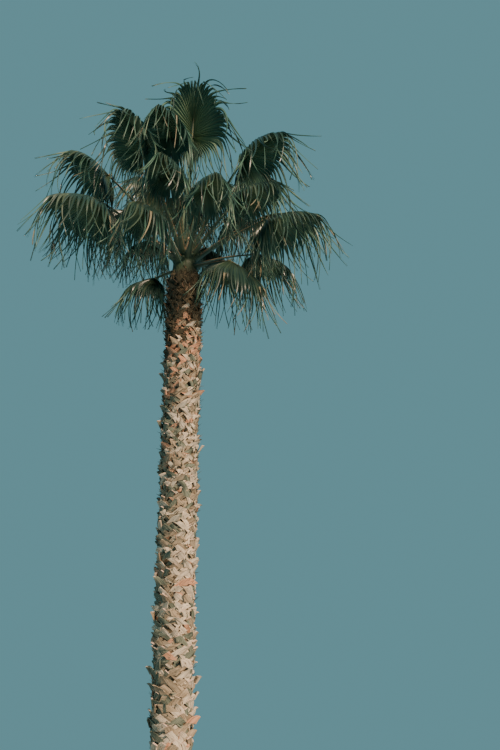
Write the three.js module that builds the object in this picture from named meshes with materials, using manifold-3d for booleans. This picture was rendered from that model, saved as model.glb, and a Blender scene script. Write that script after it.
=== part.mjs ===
// A fan palm: one straight trunk clad in the cut bases of old leaves, under a crown of fan fronds.
// Millimetres, +Z up. The origin is on the ground, under the middle of the trunk.
// Each frond is two solids: its stalk, and the fan that hangs from the stalk's tip.
import * as THREE from "three";
import { mergeVertices } from "three/addons/utils/BufferGeometryUtils.js";
import Module from "manifold-3d";

const wasm = await Module();
wasm.setup();

// The trunk. The crown's fronds leave it above TRUNK_HEIGHT, from the heart, a short tapering column.
const TRUNK_HEIGHT = 8520;
const HEART_HEIGHT = 430;
const HEART_TOP_RADIUS = 45;
const CORE_RADIUS = 188; // the wood under the leaf bases
const TAPER = 8; // how much thinner the core is under the crown than above the flare
const FLARE = 150; // how much wider the core is at the ground
const FLARE_HEIGHT = 330; // the flare falls to about a third in this height
const BASES_ROUND = 10; // cut leaf bases in one ring
const BASE_ROWS = 82; // rings of them, each turned half a base from the ring below
const BASE_STANDS_OUT = 52; // a base's lip stands this far off the core
const LIP_SHARES = [0.75, 1.2]; // the least and the most of that, as chance has it
const BASE_LIFT = 0.6; // and rises this far, in rings, from where it leaves the core
const HEART_RINGS = 3; // rings of points on the heart, which carries no lips

// Stalks: widest where they clasp the heart, thinner and rounder towards the fan.
const STALK_BASE = { width: 82, depth: 34 };
const STALK_TIP = { width: 34, depth: 22 };
const STALK_SIDES = 6;
const STALK_RINGS = 2;
const STALK_SAG = 14; // degrees that a stalk curves down on its way
const STALK_STEPS = 8; // straight steps in which that curve is worked out
const OLD_SEAT = { out: 120, up: 90 }; // an old stalk starts here, off the axis and over TRUNK_HEIGHT
const YOUNG_SEAT = { out: 50, up: 370 };

// Fans: leaflets joined in pleats up to JOINED of their length, free and hanging beyond.
const LEAFLETS = 17; // a real fan has about 68, four to each of these
const SPREAD = 158; // degrees from the middle leaflet to the outermost
const INNER = 0.25; // share of a leaflet's length where the pleats get their first row of points
const JOINED = 0.4;
const KNEE = 0.55; // and the free part its only row before the tip
const RIDGE = 10; // height of a pleat over the fan's plane
const UNDERSIDE = 6; // depth of the fan under that plane
const RIB = 260; // the stalk runs on as a rib this far into the middle of the fan
const RIB_ARCH = 0.0009; // how fast that rib arches down, per millimetre
const SIDE_SHORTER = 0.24; // the outermost leaflets are shorter by this share
const SCATTER = 0.08; // and each one's length differs by up to this share
const FREE_WIDTH = 0.62; // a free leaflet's width at its knee, against its width at the join
const KNEE_DEPTH = 0.7; // and its thickness there, the same way
const PATH_STEPS = 20; // steps in which a leaflet's bend is worked out

// How a leaflet bends under its weight, for a young fan and an old one: how far its sides fold down, in
// degrees, where along it the bend comes, and how limp it is. The bend is spread over BEND_WIDTH.
const YOUNG = { fold: 30, bendsAt: 0.44, limp: 1 };
const OLD = { fold: 42, bendsAt: 0.41, limp: 0.8 };
const BEND_WIDTH = 0.1;
const BEND_BEFORE = 0.3; // turning, in radians per length, where the leaflets are joined
const BEND_MOST = 9; // at the bend
const BEND_BEYOND = 2.4; // and how fast it grows again towards the tip
const MIDDLE_LIMP = { level: 0.6, upright: 0.95 }; // near the rib, against the sides, by how the fan stands
const MIDDLE = 0.4; // share of the spread over which that is so
const BACK_FOLD = 62; // degrees that the leaflets beside the stalk fold down
const BACK_DIP = 0.35; // and how steeply they leave it below

const CLEARANCE = 0.6; // air between a limb and what meets it
const FAN_CLEARANCE = 4; // air between fans that cross
const OUTSET = { edge: 4, tip: 24 }; // a fan's edges and tips move out this many times as far as its faces
const SMALLEST = 0.2; // cutting leaves no finer detail than this

// One row a frond, roughly oldest first: the way it points (0 is to the right, -90 to the front, 90 to the
// back), how steeply it leaves the heart, the stalk's length, the fan's radius, and how far the fan hangs
// below its stalk. Angles are in degrees.
const FRONDS = [
  [-20, 0, 500, 950, 22],
  [140, 6, 420, 760, -25],
  [-108, 8, 1080, 940, 5],
  [-148, 25, 1240, 1120, 5],
  [-75, 20, 1140, 900, 4],
  [34, 27, 1120, 860, 6],
  [-40, 36, 1090, 920, 15],
  [-13, 28, 1120, 1140, -1],
  [172, 38, 1200, 900, 4],
  [-97, 27, 1210, 810, 3],
  [78, 42, 1150, 860, 5],
  [122, 44, 1150, 860, 5],
  [10, 40, 1240, 900, 4],
  [-32, 56, 1450, 1060, 8],
  [-118, 46, 1410, 960, -14],
  [150, 52, 1220, 880, 3],
  [-158, 46, 1415, 940, -9],
  [50, 54, 1220, 860, 3],
  [100, 72, 1000, 850, -6],
  [20, 63, 1270, 850, -6],
  [140, 68, 1300, 850, -6],
  [70, 70, 1370, 880, -12],
  [-82, 67, 1490, 1160, -6],
  [-99, 50, 1480, 920, 12],
];
const YOUNGEST_RISE = 80; // fronds leave the heart upright and sink as they age
const OLDEST_RISE = -20;
const SPEAR = { length: 950, base: 34, tip: 6, lean: 3, turn: 40 }; // the unopened leaf in the middle

const BARK = { color: 0x9c8468, roughness: 0.9, metalness: 0 };
const GREEN_STALK = { color: 0x6f7850, roughness: 0.55, metalness: 0 };
const GREEN_LEAF = { color: 0x3c4f39, roughness: 0.6, metalness: 0 };

const UP = new THREE.Vector3(0, 0, 1);
const rad = THREE.MathUtils.degToRad;
const lerp = THREE.MathUtils.lerp;
const clamp = THREE.MathUtils.clamp;

// A repeatable number from 0 to 1 for one draw about one thing.
function chance(thing, draw) {
  const x = Math.sin(thing * 12.9898 + draw * 78.233) * 43758.5453;
  return x - Math.floor(x);
}

// Direction from a compass angle and a rise, both in degrees.
function direction(turn, rise) {
  const [t, r] = [rad(turn), rad(rise)];
  return new THREE.Vector3(Math.cos(t) * Math.cos(r), Math.sin(t) * Math.cos(r), Math.sin(r));
}

// The core's radius at a height: flared at the ground, then almost straight, then the heart's cone.
function coreRadius(z) {
  if (z > TRUNK_HEIGHT) {
    const share = clamp((z - TRUNK_HEIGHT) / HEART_HEIGHT, 0, 1);
    return lerp(CORE_RADIUS - TAPER, HEART_TOP_RADIUS, share ** 0.7);
  }
  return CORE_RADIUS - (TAPER * z) / TRUNK_HEIGHT + FLARE * Math.exp(-z / FLARE_HEIGHT);
}

// The trunk is a cylinder whose rings of points are pushed out, every other point, into the lips of cut
// leaf bases. A lip leans up over the dip between two lips of the next ring.
function trunkGeometry(grow) {
  const columns = BASES_ROUND * 2;
  const rings = BASE_ROWS + HEART_RINGS;
  const step = TRUNK_HEIGHT / BASE_ROWS;
  const geometry = new THREE.CylinderGeometry(1, 1, 1, columns, rings);
  const place = geometry.attributes.position;
  for (let i = 0; i < place.count; i++) {
    const [x, y, z] = [place.getX(i), place.getY(i), place.getZ(i)];
    const ring = Math.round((y + 0.5) * rings);
    const onRim = Math.hypot(x, z) > 0.5;
    const turn = Math.atan2(z, x);
    const column = Math.round((turn / (2 * Math.PI)) * columns + columns) % columns;
    const heartShare = Math.max(0, (ring - BASE_ROWS) / HEART_RINGS);
    let up = Math.min(ring, BASE_ROWS) * step + heartShare * HEART_HEIGHT;
    let out = onRim ? coreRadius(up) + grow : 0;
    const isLip = onRim && ring > 0 && ring < BASE_ROWS && (column + ring) % 2 === 0;
    if (isLip) {
      out += BASE_STANDS_OUT * lerp(...LIP_SHARES, chance(column, ring));
      up += step * BASE_LIFT;
    }
    if (ring === 0) up -= grow;
    if (ring === rings) up += grow;
    place.setXYZ(i, out * Math.cos(turn), -out * Math.sin(turn), up);
  }

  // Each square of four points is split along its dips, so that every lip is a peak of its own.
  const index = geometry.index.array;
  const standsOut = (i) => Math.hypot(place.getX(i), place.getY(i));
  for (let at = 0; at < columns * rings * 6; at += 6) {
    const [a, b, d, , c] = index.slice(at, at + 6);
    if (standsOut(b) + standsOut(d) > standsOut(a) + standsOut(c)) index.set([a, b, c, a, c, d], at);
  }
  return geometry;
}

// A tapering limb along a curve: a cylinder of a few sides whose rings follow the curve.
function limbGeometry(points, baseSize, tipSize, rings, grow) {
  const curve = new THREE.CatmullRomCurve3(points);
  const geometry = new THREE.CylinderGeometry(1, 1, 1, STALK_SIDES, rings);
  const place = geometry.attributes.position;
  for (let i = 0; i < place.count; i++) {
    const [x, y, z] = [place.getX(i), place.getY(i), place.getZ(i)];
    const along = clamp(y + 0.5, 0, 1);
    const ahead = curve.getTangentAt(along);
    const across = new THREE.Vector3().crossVectors(UP, ahead).normalize();
    const over = new THREE.Vector3().crossVectors(ahead, across);
    const width = lerp(baseSize.width, tipSize.width, Math.sqrt(along)) / 2 + grow;
    const depth = lerp(baseSize.depth, tipSize.depth, Math.sqrt(along)) / 2 + grow;
    const beyond = grow * Math.sign(along - 0.5) * (along === 0 || along === 1 ? 1 : 0);
    const point = curve.getPointAt(along).addScaledVector(across, z * width);
    point.addScaledVector(over, x * depth).addScaledVector(ahead, beyond);
    place.setXYZ(i, point.x, point.y, point.z);
  }
  return geometry;
}

// A frond's age by its rise: 0 young, 1 old.
const ageOf = (rise) => clamp((YOUNGEST_RISE - rise) / (YOUNGEST_RISE - OLDEST_RISE), 0, 1);

// A frond's stalk as points from the heart to the fan: young stalks leave higher and nearer the axis.
function stalkPoints([turn, rise, length]) {
  const age = ageOf(rise);
  const point = direction(turn, 0).multiplyScalar(lerp(YOUNG_SEAT.out, OLD_SEAT.out, age));
  point.z = TRUNK_HEIGHT + lerp(YOUNG_SEAT.up, OLD_SEAT.up, age);
  const points = [point.clone()];
  for (let i = 0; i < STALK_STEPS; i++) {
    const sag = STALK_SAG * (0.5 - (i + 0.5) / STALK_STEPS);
    point.addScaledVector(direction(turn, rise + sag), length / STALK_STEPS);
    points.push(point.clone());
  }
  return points;
}

function spearPoints() {
  const start = new THREE.Vector3(0, 0, TRUNK_HEIGHT + HEART_HEIGHT - 20);
  const way = direction(SPEAR.turn, 90 - SPEAR.lean);
  return [0, 0.5, 1].map((share) => start.clone().addScaledVector(way, share * SPEAR.length));
}

// Where a fan sits: its hub at the stalk's tip, the way its middle leaflet points, its side and its normal.
function fanFrame(frond) {
  const [turn, rise, , , hang] = frond;
  const hub = stalkPoints(frond).at(-1);
  const ahead = direction(turn, rise - STALK_SAG / 2 - hang);
  const across = direction(turn + 90, 0);
  return { hub, ahead, across, over: new THREE.Vector3().crossVectors(ahead, across) };
}

// The rib in the middle of the fan, at a reach from the hub: its place, and the way it runs there.
function ribPoint({ hub, ahead }, reach) {
  const point = hub.clone().addScaledVector(ahead, reach).addScaledVector(UP, -RIB_ARCH * reach ** 2);
  return { point, along: ahead.clone().addScaledVector(UP, -2 * RIB_ARCH * reach).normalize() };
}

// One leaflet's midrib as points, at share from -1 to 1 of the fan's spread. It runs straight while it is
// joined to its neighbours, breaks downwards just past there, and then hangs. Those beside the stalk fold
// down under it.
function leafletPath(frond, share, scatter) {
  const frame = fanFrame(frond);
  const [, rise, , radius] = frond;
  const [fold, bendsAt, limp] = ["fold", "bendsAt", "limp"].map((k) => lerp(YOUNG[k], OLD[k], ageOf(rise)));
  const turn = rad(SPREAD) * share;
  const length = radius * (1 - SIDE_SHORTER * Math.abs(share) ** 2.2) * (1 + SCATTER * (scatter - 0.5));
  const { point, along } = ribPoint(frame, RIB * Math.max(0, Math.cos(turn)) ** 2);
  const atBack = Math.max(0, -Math.cos(turn));
  const folded = rad(lerp(fold, BACK_FOLD, atBack));
  const side = frame.across.clone().multiplyScalar(Math.cos(folded) * Math.sign(turn));
  side.addScaledVector(frame.over, -Math.sin(folded));
  const way = along.multiplyScalar(Math.cos(turn)).addScaledVector(side, Math.abs(Math.sin(turn)));
  way.addScaledVector(frame.over, -BACK_DIP * atBack).normalize();
  const middleLimp = lerp(MIDDLE_LIMP.level, MIDDLE_LIMP.upright, clamp(frame.ahead.z, 0, 1));
  const give = limp * lerp(middleLimp, 1, clamp(Math.abs(share) / MIDDLE, 0, 1));
  const points = [point.clone()];
  for (let i = 0; i < PATH_STEPS; i++) {
    const r = (i + 0.5) / PATH_STEPS;
    const atBend = BEND_MOST * Math.exp(-(((r - bendsAt) / BEND_WIDTH) ** 2));
    const beyond = BEND_BEYOND * Math.max(0, r - bendsAt);
    const turnDown = ((BEND_BEFORE + (atBend + beyond) * give) * length) / radius / PATH_STEPS;
    way.addScaledVector(way, way.z * turnDown).addScaledVector(UP, -turnDown).normalize();
    point.addScaledVector(way, length / PATH_STEPS);
    points.push(point.clone());
  }
  return points;
}

// A point of the sheet at a share of a leaflet's length: place, and the sheet's own normal there.
function sheetPoint(path, share, across) {
  const i = Math.round(share * PATH_STEPS);
  const along = path[Math.min(i + 1, PATH_STEPS)].clone().sub(path[i - 1]);
  return { place: path[i].clone(), normal: along.cross(across).normalize() };
}

function halfway(a, b) {
  return a.map((point, i) => point.clone().add(b[i]).multiplyScalar(0.5));
}

// The fan as one closed sheet: pleated above, plain below, sharp at its edges, with a slit between free
// leaflets. grow makes it larger all round and closes the slits down to the knee, to cut other solids
// clear of it.
function fanGeometry(frond, number, grow) {
  const { hub, ahead, over } = fanFrame(frond);
  const outset = grow * OUTSET.edge;
  const share = (i) => ((i + 0.5) / LEAFLETS) * 2 - 1;
  const ribs = Array.from({ length: LEAFLETS }, (_, i) => leafletPath(frond, share(i), chance(number, i)));
  const edges = Array.from({ length: LEAFLETS + 1 }, (_, i) => {
    if (i === 0) return leafletPath(frond, -1, 0.5);
    if (i === LEAFLETS) return leafletPath(frond, 1, 0.5);
    return halfway(ribs[i - 1], ribs[i]);
  });

  const points = [];
  const faces = [];
  const put = (point) => points.push(point) - 1;
  const above = (s, height) => put(s.place.clone().addScaledVector(s.normal, height + grow));
  const under = (s, depth) => put(s.place.clone().addScaledVector(s.normal, -depth - grow));
  const outer = (s) => put(s.place.clone().add(s.place.clone().sub(hub).setLength(outset)));

  const middle = { place: hub.clone().addScaledVector(ahead, -outset), normal: over };
  const hubTop = above(middle, RIDGE);
  const hubLow = under(middle, UNDERSIDE + RIDGE);
  const joinAt = JOINED * PATH_STEPS;
  const rays = edges.map((edge, i) => {
    const [before, after] = [edges[Math.max(i - 1, 0)], edges[Math.min(i + 1, LEAFLETS)]];
    const across = after[joinAt].clone().sub(before[joinAt]).normalize();
    const [near, join, closed] = [INNER, JOINED, KNEE].map((s) => sheetPoint(edge, s, across));
    const onRim = i === 0 || i === LEAFLETS;
    if (onRim) {
      const sideways = i === 0 ? -outset : outset;
      for (const s of [near, join, closed]) s.place.addScaledVector(across, sideways);
    }
    const edgeTop = onRim ? outer(near) : above(near, 0);
    const edgeLow = onRim ? edgeTop : under(near, UNDERSIDE);
    const joinTop = onRim || grow === 0 ? outer(join) : above(join, 0);
    const joinLow = onRim || grow === 0 ? joinTop : under(join, 0);
    const slit = grow === 0 ? joinTop : outer(closed);
    return { edgeTop, edgeLow, joinTop, joinLow, slit };
  });

  ribs.forEach((rib, i) => {
    const [l, r] = [rays[i], rays[i + 1]];
    const across = edges[i + 1][JOINED * PATH_STEPS].clone().sub(edges[i][JOINED * PATH_STEPS]);
    const halfWidth = (across.length() * FREE_WIDTH) / 2;
    across.normalize();
    const [inner, joined, bent] = [INNER, JOINED, KNEE].map((s) => sheetPoint(rib, s, across));
    const near = above(inner, RIDGE);
    const far = above(joined, RIDGE);
    const farLow = under(joined, UNDERSIDE);
    const knee = above(bent, RIDGE * KNEE_DEPTH);
    const kneeLow = under(bent, UNDERSIDE * KNEE_DEPTH);
    const kneeLeft = put(bent.place.clone().addScaledVector(across, -halfWidth - outset));
    const kneeRight = put(bent.place.clone().addScaledVector(across, halfWidth + outset));
    const end = rib[PATH_STEPS];
    const tip = put(end.clone().add(end.clone().sub(bent.place).setLength(grow * OUTSET.tip)));
    faces.push([hubTop, l.edgeTop, near], [hubTop, near, r.edgeTop]);
    faces.push([near, l.edgeTop, l.joinTop], [near, l.joinTop, far]);
    faces.push([near, far, r.joinTop], [near, r.joinTop, r.edgeTop]);
    faces.push([far, l.joinTop, kneeLeft], [far, kneeLeft, knee], [far, knee, kneeRight]);
    faces.push([far, kneeRight, r.joinTop], [knee, kneeLeft, tip], [knee, tip, kneeRight]);
    faces.push([hubLow, r.edgeLow, l.edgeLow], [l.edgeLow, r.edgeLow, farLow]);
    faces.push([l.edgeLow, farLow, l.joinLow], [r.edgeLow, r.joinLow, farLow]);
    faces.push([farLow, kneeLeft, l.joinLow], [farLow, kneeLow, kneeLeft], [farLow, kneeRight, kneeLow]);
    faces.push([farLow, r.joinLow, kneeRight], [kneeLow, tip, kneeLeft], [kneeLow, kneeRight, tip]);
    faces.push([l.joinTop, l.slit, kneeLeft], [l.joinLow, kneeLeft, l.slit]);
    faces.push([r.joinTop, kneeRight, r.slit], [r.joinLow, r.slit, kneeRight]);
  });
  faces.push([hubTop, hubLow, rays[0].edgeTop], [hubTop, rays[LEAFLETS].edgeTop, hubLow]);
  const real = faces.filter(([a, b, c]) => a !== b && b !== c && c !== a);

  const geometry = new THREE.BufferGeometry();
  geometry.setAttribute("position", new THREE.Float32BufferAttribute(points.flatMap((p) => p.toArray()), 3));
  geometry.setIndex(real.flat());
  return geometry;
}

function toManifold(geometry) {
  for (const name of Object.keys(geometry.attributes)) {
    if (name !== "position") geometry.deleteAttribute(name);
  }
  const merged = mergeVertices(geometry, 1e-3);
  const vertProperties = merged.attributes.position.array;
  return new wasm.Manifold(new wasm.Mesh({ numProp: 3, vertProperties, triVerts: merged.index.array }));
}

function toGeometry(solid) {
  const made = solid.getMesh();
  const geometry = new THREE.BufferGeometry();
  geometry.setAttribute("position", new THREE.BufferAttribute(new Float32Array(made.vertProperties), 3));
  geometry.setIndex(new THREE.BufferAttribute(new Uint32Array(made.triVerts), 1));
  geometry.computeVertexNormals();
  return geometry;
}

// The largest body of a solid, once cutting has left loose scraps.
function largestBody(solid) {
  const bodies = solid.decompose();
  return bodies.reduce((best, body) => (body.volume() > best.volume() ? body : best));
}

const palm = new THREE.Group();
palm.name = "fan_palm_tree";
const takenSpace = []; // grown copies of the solids made so far

// Makes one solid of the palm from shape(grow), cut clear of all those made before it.
function add(name, finish, clearance, shape) {
  let solid = toManifold(shape(0));
  const reach = solid.boundingBox();
  for (const taken of takenSpace) {
    const box = taken.boundingBox();
    const apart = [0, 1, 2].some((k) => box.min[k] > reach.max[k] || box.max[k] < reach.min[k]);
    if (!apart) solid = solid.subtract(taken);
  }
  solid = largestBody(solid.simplify(SMALLEST));
  takenSpace.push(toManifold(shape(clearance)));
  const mesh = new THREE.Mesh(toGeometry(solid), new THREE.MeshStandardMaterial(finish));
  mesh.name = name;
  palm.add(mesh);
}

add("trunk", BARK, CLEARANCE, trunkGeometry);
add("spear", GREEN_LEAF, CLEARANCE, (grow) => {
  const [base, tip] = [SPEAR.base, SPEAR.tip];
  return limbGeometry(spearPoints(), { width: base, depth: base }, { width: tip, depth: tip }, 2, grow);
});
FRONDS.forEach((frond, i) => {
  const number = String(i + 1).padStart(2, "0");
  add(`stalk_${number}`, GREEN_STALK, CLEARANCE, (grow) => {
    return limbGeometry(stalkPoints(frond), STALK_BASE, STALK_TIP, STALK_RINGS, grow);
  });
});
FRONDS.forEach((frond, i) => {
  const number = String(i + 1).padStart(2, "0");
  add(`fan_${number}`, GREEN_LEAF, FAN_CLEARANCE, (grow) => fanGeometry(frond, i + 1, grow));
});

export default palm;
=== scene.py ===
# %% [markdown]
# A fan palm, finished in Blender.
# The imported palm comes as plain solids: a trunk, an unopened leaf in the middle of the crown, and two
# dozen fronds, each a stalk and a fan. Every one of them is a stand-in for something finer, so each gets
# a piece that takes its place: woody leaf bases, toothed stalks and fans of some seventy leaflets.
# The frame is loaded first, because every size below has to agree with it.

import math
from collections import namedtuple

import bmesh
import bpy
from mathutils import Matrix, Vector, noise


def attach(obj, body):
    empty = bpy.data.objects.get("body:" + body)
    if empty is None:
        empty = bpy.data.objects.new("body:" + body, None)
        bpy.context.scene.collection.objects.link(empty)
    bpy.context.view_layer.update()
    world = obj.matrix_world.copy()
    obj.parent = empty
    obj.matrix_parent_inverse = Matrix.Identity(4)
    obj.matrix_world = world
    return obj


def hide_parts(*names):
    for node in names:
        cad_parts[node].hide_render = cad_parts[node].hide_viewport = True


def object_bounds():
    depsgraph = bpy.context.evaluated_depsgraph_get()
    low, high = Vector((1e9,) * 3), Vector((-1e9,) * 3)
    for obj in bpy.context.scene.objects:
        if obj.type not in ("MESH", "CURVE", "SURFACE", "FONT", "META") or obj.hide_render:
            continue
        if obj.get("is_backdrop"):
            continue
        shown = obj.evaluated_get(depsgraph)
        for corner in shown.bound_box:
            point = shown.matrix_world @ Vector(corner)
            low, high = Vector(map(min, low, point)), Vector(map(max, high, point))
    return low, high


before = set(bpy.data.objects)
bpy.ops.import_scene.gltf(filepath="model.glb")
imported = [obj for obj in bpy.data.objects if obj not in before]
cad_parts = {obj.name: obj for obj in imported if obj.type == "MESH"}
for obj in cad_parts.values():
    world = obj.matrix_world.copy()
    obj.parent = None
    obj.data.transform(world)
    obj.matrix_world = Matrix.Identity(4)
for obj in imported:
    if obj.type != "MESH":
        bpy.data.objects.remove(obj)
SOLIDS_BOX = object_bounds()
print("solids reach from", [list(corner) for corner in SOLIDS_BOX])

# %% [markdown]
# The camera stands on the ground some twelve metres off, a little to the right of the trunk, and looks up
# at the crown. A long lens could give the same framing from further away, but then the fans would not be
# seen from below as they are here: the upward pitch is what shows their dark undersides.

# %% Camera
EYE = (0.821, -12.0, 1.6)  # metres; the trunk stands at 0, 0
PITCH_UP = 25  # degrees over the horizon
LENS = 52.8  # millimetres
SENSOR = 36  # millimetres, along the picture's long side, which is its height

camera = bpy.data.objects.new("camera", bpy.data.cameras.new("camera"))
bpy.context.scene.collection.objects.link(camera)
camera.location = EYE
camera.rotation_euler = (math.radians(90 + PITCH_UP), 0, 0)
camera.data.lens = LENS
camera.data.sensor_width = SENSOR
bpy.context.scene.camera = camera
print("camera sees", round(math.degrees(camera.data.angle), 1), "degrees from top to bottom")

# %% [markdown]
# Colours are written as sRGB hex values, the way a colour picker shows them. Blender's shaders want
# linear light, so one function turns the one into the other. The curve between them is a standard one: a
# straight foot for the darkest tones, then a power of 2.4.

# %% Colours from hex values
def linear(hex_colour, alpha=True):
    channels = [int(hex_colour[i:i + 2], 16) / 255 for i in (1, 3, 5)]
    light = [c / 12.92 if c <= 0.04045 else ((c + 0.055) / 1.055) ** 2.4 for c in channels]
    return (*light, 1) if alpha else tuple(light)


print("mid grey is", [round(c, 3) for c in linear("#808080", alpha=False)])

# %% [markdown]
# The light is a warm, low key from the front right, as broad as a studio's soft box, with a pale cool
# surround that fills the shade. A hard sun would cut the trunk in two: a wide key lets the shade roll
# round it. Nothing here depends on where the camera stands.

# %% Studio light
KEY = {"power": 6.4, "colour": "#ffe0c0"}  # the power in watts a square metre
KEY_ANGLES = {"azimuth": -52, "height": 28, "width": 14}  # degrees: round from +X, over the floor, across
SURROUND = {"colour": "#82c0cb", "strength": 0.53}

key = bpy.data.objects.new("key_light", bpy.data.lights.new("key_light", "SUN"))
bpy.context.scene.collection.objects.link(key)
key.data.energy = KEY["power"]
key.data.color = linear(KEY["colour"], alpha=False)
key.data.angle = math.radians(KEY_ANGLES["width"])
key.rotation_euler = (math.radians(90 - KEY_ANGLES["height"]), 0, math.radians(90 + KEY_ANGLES["azimuth"]))

surround = bpy.data.worlds.new("studio_surround")
surround.use_nodes = True
bpy.context.scene.world = surround
background = surround.node_tree.nodes["Background"]
background.inputs["Color"].default_value = linear(SURROUND["colour"])
background.inputs["Strength"].default_value = SURROUND["strength"]
print("key", KEY["power"], "surround", SURROUND["strength"])

# %% [markdown]
# A material here is a few nodes hung on one shader. One small function adds a node, sets it and links it:
# an input that is given another node's socket is linked, and one that is given a number or a colour is
# set. An input whose name is an underscore and a number is picked by its place, where several share a
# name. What is the same all over a surface goes straight on the shader.
#
# A skin has a colour, a relief and mostly a range of roughness, all drawn from the same pattern: the hollow
# between two fibres is darker, lower and duller at once. So one more function hangs the three together.

# %% Materials from nodes
def add_node(material, kind, settings=None, **inputs):
    node = material.node_tree.nodes.new(kind)
    for name, value in (settings or {}).items():
        setattr(node, name, value)
    for name, value in inputs.items():
        socket = node.inputs[int(name[1:])] if name[0] == "_" else node.inputs[name.replace("_", " ")]
        if isinstance(value, bpy.types.NodeSocket):
            material.node_tree.links.new(value, socket)
        else:
            socket.default_value = value
    return node


def new_material(name, **constants):
    """A material with its shader's constants set, and that shader."""
    material = bpy.data.materials.new(name)
    material.use_nodes = True
    shader = material.node_tree.nodes["Principled BSDF"]
    for socket, value in constants.items():
        shader.inputs[socket.replace("_", " ")].default_value = value
    return material, shader


def laid_out(material, source, stretch):
    """Where a pattern is read: a map of the piece, finer along an axis the more that axis is multiplied."""
    own = add_node(material, "ShaderNodeTexCoord").outputs[source]
    return add_node(material, "ShaderNodeMapping", Vector=own, Scale=stretch).outputs["Vector"]


def two_tones(material, pattern, dark, light, low=0.35, high=0.65):
    """A colour that goes from dark to light as the pattern goes from low to high."""
    ramp = add_node(material, "ShaderNodeValToRGB", Fac=pattern)
    ramp.color_ramp.elements[0].position = low
    ramp.color_ramp.elements[1].position = high
    ramp.color_ramp.elements[0].color = linear(dark)
    ramp.color_ramp.elements[1].color = linear(light)
    return ramp.outputs["Color"]


def hang_skin(material, shader, colour, relief, depth, strength=1.0, rough=None, rough_by=None):
    """Hang on a shader a colour, a relief some metres deep, and a range of roughness that follows it."""
    bump = add_node(material, "ShaderNodeBump", Height=relief, Distance=depth, Strength=strength)
    hung = {"Base Color": colour, "Normal": bump.outputs["Normal"]}
    if rough:
        low, high = rough
        pattern = relief if rough_by is None else rough_by
        span = add_node(material, "ShaderNodeMapRange", Value=pattern, To_Min=low, To_Max=high)
        hung["Roughness"] = span.outputs["Result"]
    for name, socket in hung.items():
        material.node_tree.links.new(socket, shader.inputs[name])


# %% [markdown]
# The floor is a round of matt pale board that holds the palm's shadow and little more. A wider one would
# throw so much light up that the shade on the trunk would go flat. It isn't part of the palm, so it is
# marked as stage. A faint mottling in its roughness keeps it from looking like plain paper.

# %% Floor
FLOOR_RADIUS = 9  # metres
MOTTLES_PER_METRE = 6  # one some 170 mm from the next

floor_bm = bmesh.new()
bmesh.ops.create_circle(floor_bm, cap_ends=True, segments=96, radius=FLOOR_RADIUS)
floor_mesh = bpy.data.meshes.new("floor")
floor_bm.to_mesh(floor_mesh)
floor_bm.free()
floor = bpy.data.objects.new("floor", floor_mesh)
bpy.context.scene.collection.objects.link(floor)
board, board_shader = new_material("painted_board", Base_Color=linear("#bfc3c2"))
board_place = add_node(board, "ShaderNodeTexCoord").outputs["Object"]
mottle = add_node(board, "ShaderNodeTexNoise", Vector=board_place, Scale=MOTTLES_PER_METRE)
board_rough = add_node(board, "ShaderNodeMapRange", Value=mottle.outputs["Fac"], To_Min=0.75, To_Max=0.9)
board.node_tree.links.new(board_rough.outputs["Result"], board_shader.inputs["Roughness"])
floor_mesh.materials.append(board)
floor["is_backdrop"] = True
print("floor is", 2 * FLOOR_RADIUS, "m across")

# %% [markdown]
# A finished piece is a mesh in the palm's own frame. This helper turns a bmesh into such an object, gives
# it its materials, makes it ride on the palm's one body and hides the solids that it replaces.

# %% From a bmesh to a piece
def make_piece(name, bm, materials, nodes):
    bm.normal_update()
    mesh = bpy.data.meshes.new(name)
    bm.to_mesh(mesh)
    bm.free()
    for material in materials:
        mesh.materials.append(material)
    piece = bpy.data.objects.new(name, mesh)
    bpy.context.scene.collection.objects.link(piece)
    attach(piece, "root")
    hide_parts(*nodes)
    triangles = sum(len(face.vertices) - 2 for face in mesh.polygons)
    print(f"{name}: {triangles} triangles in place of {len(nodes)} solids")
    return piece


# %% [markdown]
# The palm grows by the same rule as its solids, so the rule is written here again, in metres. First the
# repeatable chance that makes one leaf differ from the next, and the direction that a frond points in.

# %% Chance and direction
UP = Vector((0, 0, 1))


def chance(thing, draw):
    """A repeatable number from 0 to 1 for one draw about one thing."""
    x = math.sin(thing * 12.9898 + draw * 78.233) * 43758.5453  # unrelated numbers scatter it well
    return x - math.floor(x)


def spread(thing, draw, amount):
    """A repeatable number from -amount to +amount."""
    return (chance(thing, draw) * 2 - 1) * amount


def lerp(a, b, share):
    return a + (b - a) * share


def clamp(x, low=0.0, high=1.0):
    return max(low, min(high, x))


def fade(x, start, end):
    """0 at start and before it, 1 at end and beyond it, and even in between."""
    return clamp((x - start) / (end - start))


def direction(turn, rise):
    """A way to point: degrees round from +X, and degrees over the horizon."""
    t, r = math.radians(turn), math.radians(rise)
    return Vector((math.cos(t) * math.cos(r), math.sin(t) * math.cos(r), math.sin(r)))


print("a frond that rises 30 degrees to the right points", [round(c, 2) for c in direction(0, 30)])

# %% [markdown]
# The trunk's wood is a column with a foot that flares into the ground, almost no taper, and a cone at the
# top, the heart, from which the fronds grow. What shows of it is only the dark matted fibre in the gaps
# between the leaf bases, so a column with a rough skin does. It is a grid rolled into a tube: its seam is
# merged, its ends are closed, and noise pushes the skin in and out.

# %% Matted fibre of the trunk
TRUNK_HEIGHT = 8.520  # metres, as all lengths from here on
HEART_HEIGHT = 0.430
HEART_TOP_RADIUS = 0.045
HEART_CURVE = 0.7  # under 1, the heart is fuller at its top than a straight cone
CORE_RADIUS = 0.188
TAPER = 0.008
FLARE = 0.150
FLARE_HEIGHT = 0.330
MAT_THICKNESS = 0.010
MAT_ROUGHNESS = 0.006  # how far the matted fibre stands in or out
MAT_LUMPS = {"across": 22, "up": 9}  # per metre
MAT_COLUMNS, MAT_ROWS = 56, 300


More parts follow.
